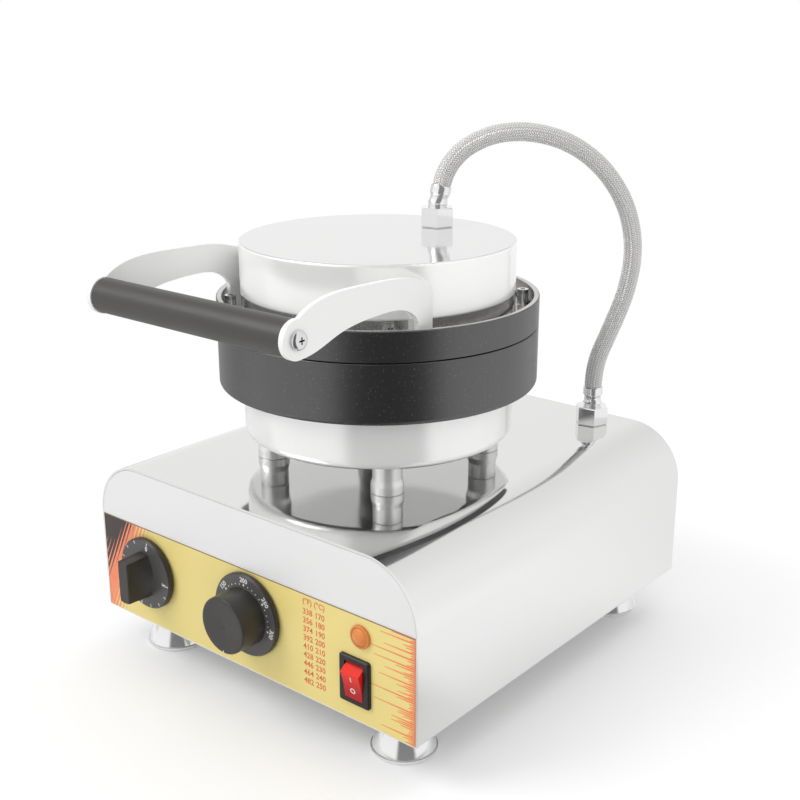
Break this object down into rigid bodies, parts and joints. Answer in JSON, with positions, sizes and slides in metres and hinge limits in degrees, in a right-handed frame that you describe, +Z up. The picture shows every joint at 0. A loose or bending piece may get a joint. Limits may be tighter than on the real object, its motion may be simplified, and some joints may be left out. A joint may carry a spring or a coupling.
{
  "type": "waffle bowl maker",
  "caption": "Countertop electric waffle bowl maker: hinged round moulds in polished steel covers on posts over a control box, with a front handle, a braided hose, dials and a rocker switch.",
  "frame": {"origin": "centre of the bounding box in plan, at the underside of the feet", "axes": "+Z up; -Y towards the front with the dials and the handle; +X to the right as seen from the front"},
  "size_m": [0.26, 0.3324, 0.3296],
  "materials": {
    "polished_steel": "mirror-polished stainless steel sheet",
    "plain_steel": "satin stainless steel sheet",
    "bright_fixings": "bright plated steel",
    "chromed_fittings": "polished chrome",
    "coated_castings": "dark non-stick coating with fine sparkle; rim and trough machined bright",
    "heater_steel": "heat-darkened steel",
    "arm_steel": "smooth stainless steel plate",
    "dark_grip": "dark heat-proof tube, semi-gloss",
    "wire_braid": "braided steel wire",
    "label_film": "yellow printed film with dark and orange-red bands",
    "knob_plastic": "dark moulded plastic",
    "dark_plastic": "black moulded plastic",
    "amber_lens": "translucent amber",
    "red_rocker": "translucent red"
  },
  "bodies": {
    "base": {"housing_shell": "polished_steel", "front_plate": "plain_steel", "rear_plate": "plain_steel", "bottom_plate": "plain_steel", "bottom_screws": "bright_fixings", "foot_front_left": "chromed_fittings", "foot_front_right": "chromed_fittings", "foot_rear_left": "chromed_fittings", "foot_rear_right": "chromed_fittings", "foot_screws": "bright_fixings", "post_front_left": "chromed_fittings", "post_front_right": "chromed_fittings", "post_rear_left": "chromed_fittings", "post_rear_right": "chromed_fittings", "post_bolts": "bright_fixings", "lower_cover": "polished_steel", "lower_mould": "coated_castings", "lower_heater": "heater_steel", "lower_heater_clamp": "heater_steel", "lower_clamp_screw": "bright_fixings", "lower_hose_nut": "chromed_fittings", "lower_hose_locknut": "bright_fixings", "lower_hose_ferrule": "chromed_fittings", "braided_hose": "wire_braid", "control_label": "label_film", "timer_body": "dark_plastic", "thermostat_body": "dark_plastic", "shaft_nuts": "bright_fixings", "lamp_bezel": "amber_lens", "lamp_lens": "amber_lens", "switch_frame": "dark_plastic", "cable_gland": "dark_plastic", "gland_nut": "dark_plastic", "terminal_block": "dark_plastic", "thermostat_capillary": "heater_steel", "thermostat_bulb": "heater_steel"},
    "lid": {"upper_mould": "coated_castings", "upper_cover": "polished_steel", "cover_pillars": "bright_fixings", "cover_screws": "bright_fixings", "upper_heater": "heater_steel", "upper_heater_clamp": "heater_steel", "upper_clamp_stud": "bright_fixings", "upper_clamp_nut": "bright_fixings", "handle_arm_left": "arm_steel", "handle_arm_right": "arm_steel", "handle_grip": "dark_grip", "handle_rod": "bright_fixings", "handle_screws": "bright_fixings", "upper_hose_nut": "chromed_fittings", "upper_hose_locknut": "bright_fixings", "upper_hose_ferrule": "chromed_fittings", "hinge_pin": "bright_fixings", "hinge_clip": "bright_fixings"},
    "timer": {"timer_knob": "knob_plastic", "timer_shaft": "bright_fixings"},
    "thermostat": {"thermostat_knob": "knob_plastic", "thermostat_shaft": "bright_fixings"},
    "rocker": {"switch_rocker": "red_rocker"}
  },
  "joints": [
    {"name": "lid_hinge", "type": "hinge", "parent": "base", "child": "lid", "pos_m": [0, 0.1015, 0.2149], "axis": [-1, 0, 0], "range_deg": [0, 90], "deforming": ["braided_hose"]},
    {"name": "timer_turn", "type": "hinge", "parent": "base", "child": "timer", "pos_m": [-0.0845, -0.1292, 0.063], "axis": [0, 1, 0], "range_deg": [0, 300]},
    {"name": "thermostat_turn", "type": "hinge", "parent": "base", "child": "thermostat", "pos_m": [0.0046, -0.1292, 0.0644], "axis": [0, 1, 0], "range_deg": [0, 270]},
    {"name": "rocker_tilt", "type": "hinge", "parent": "base", "child": "rocker", "pos_m": [0.087, -0.1292, 0.0515], "axis": [-1, 0, 0], "range_deg": [0, 20]}
  ]
}
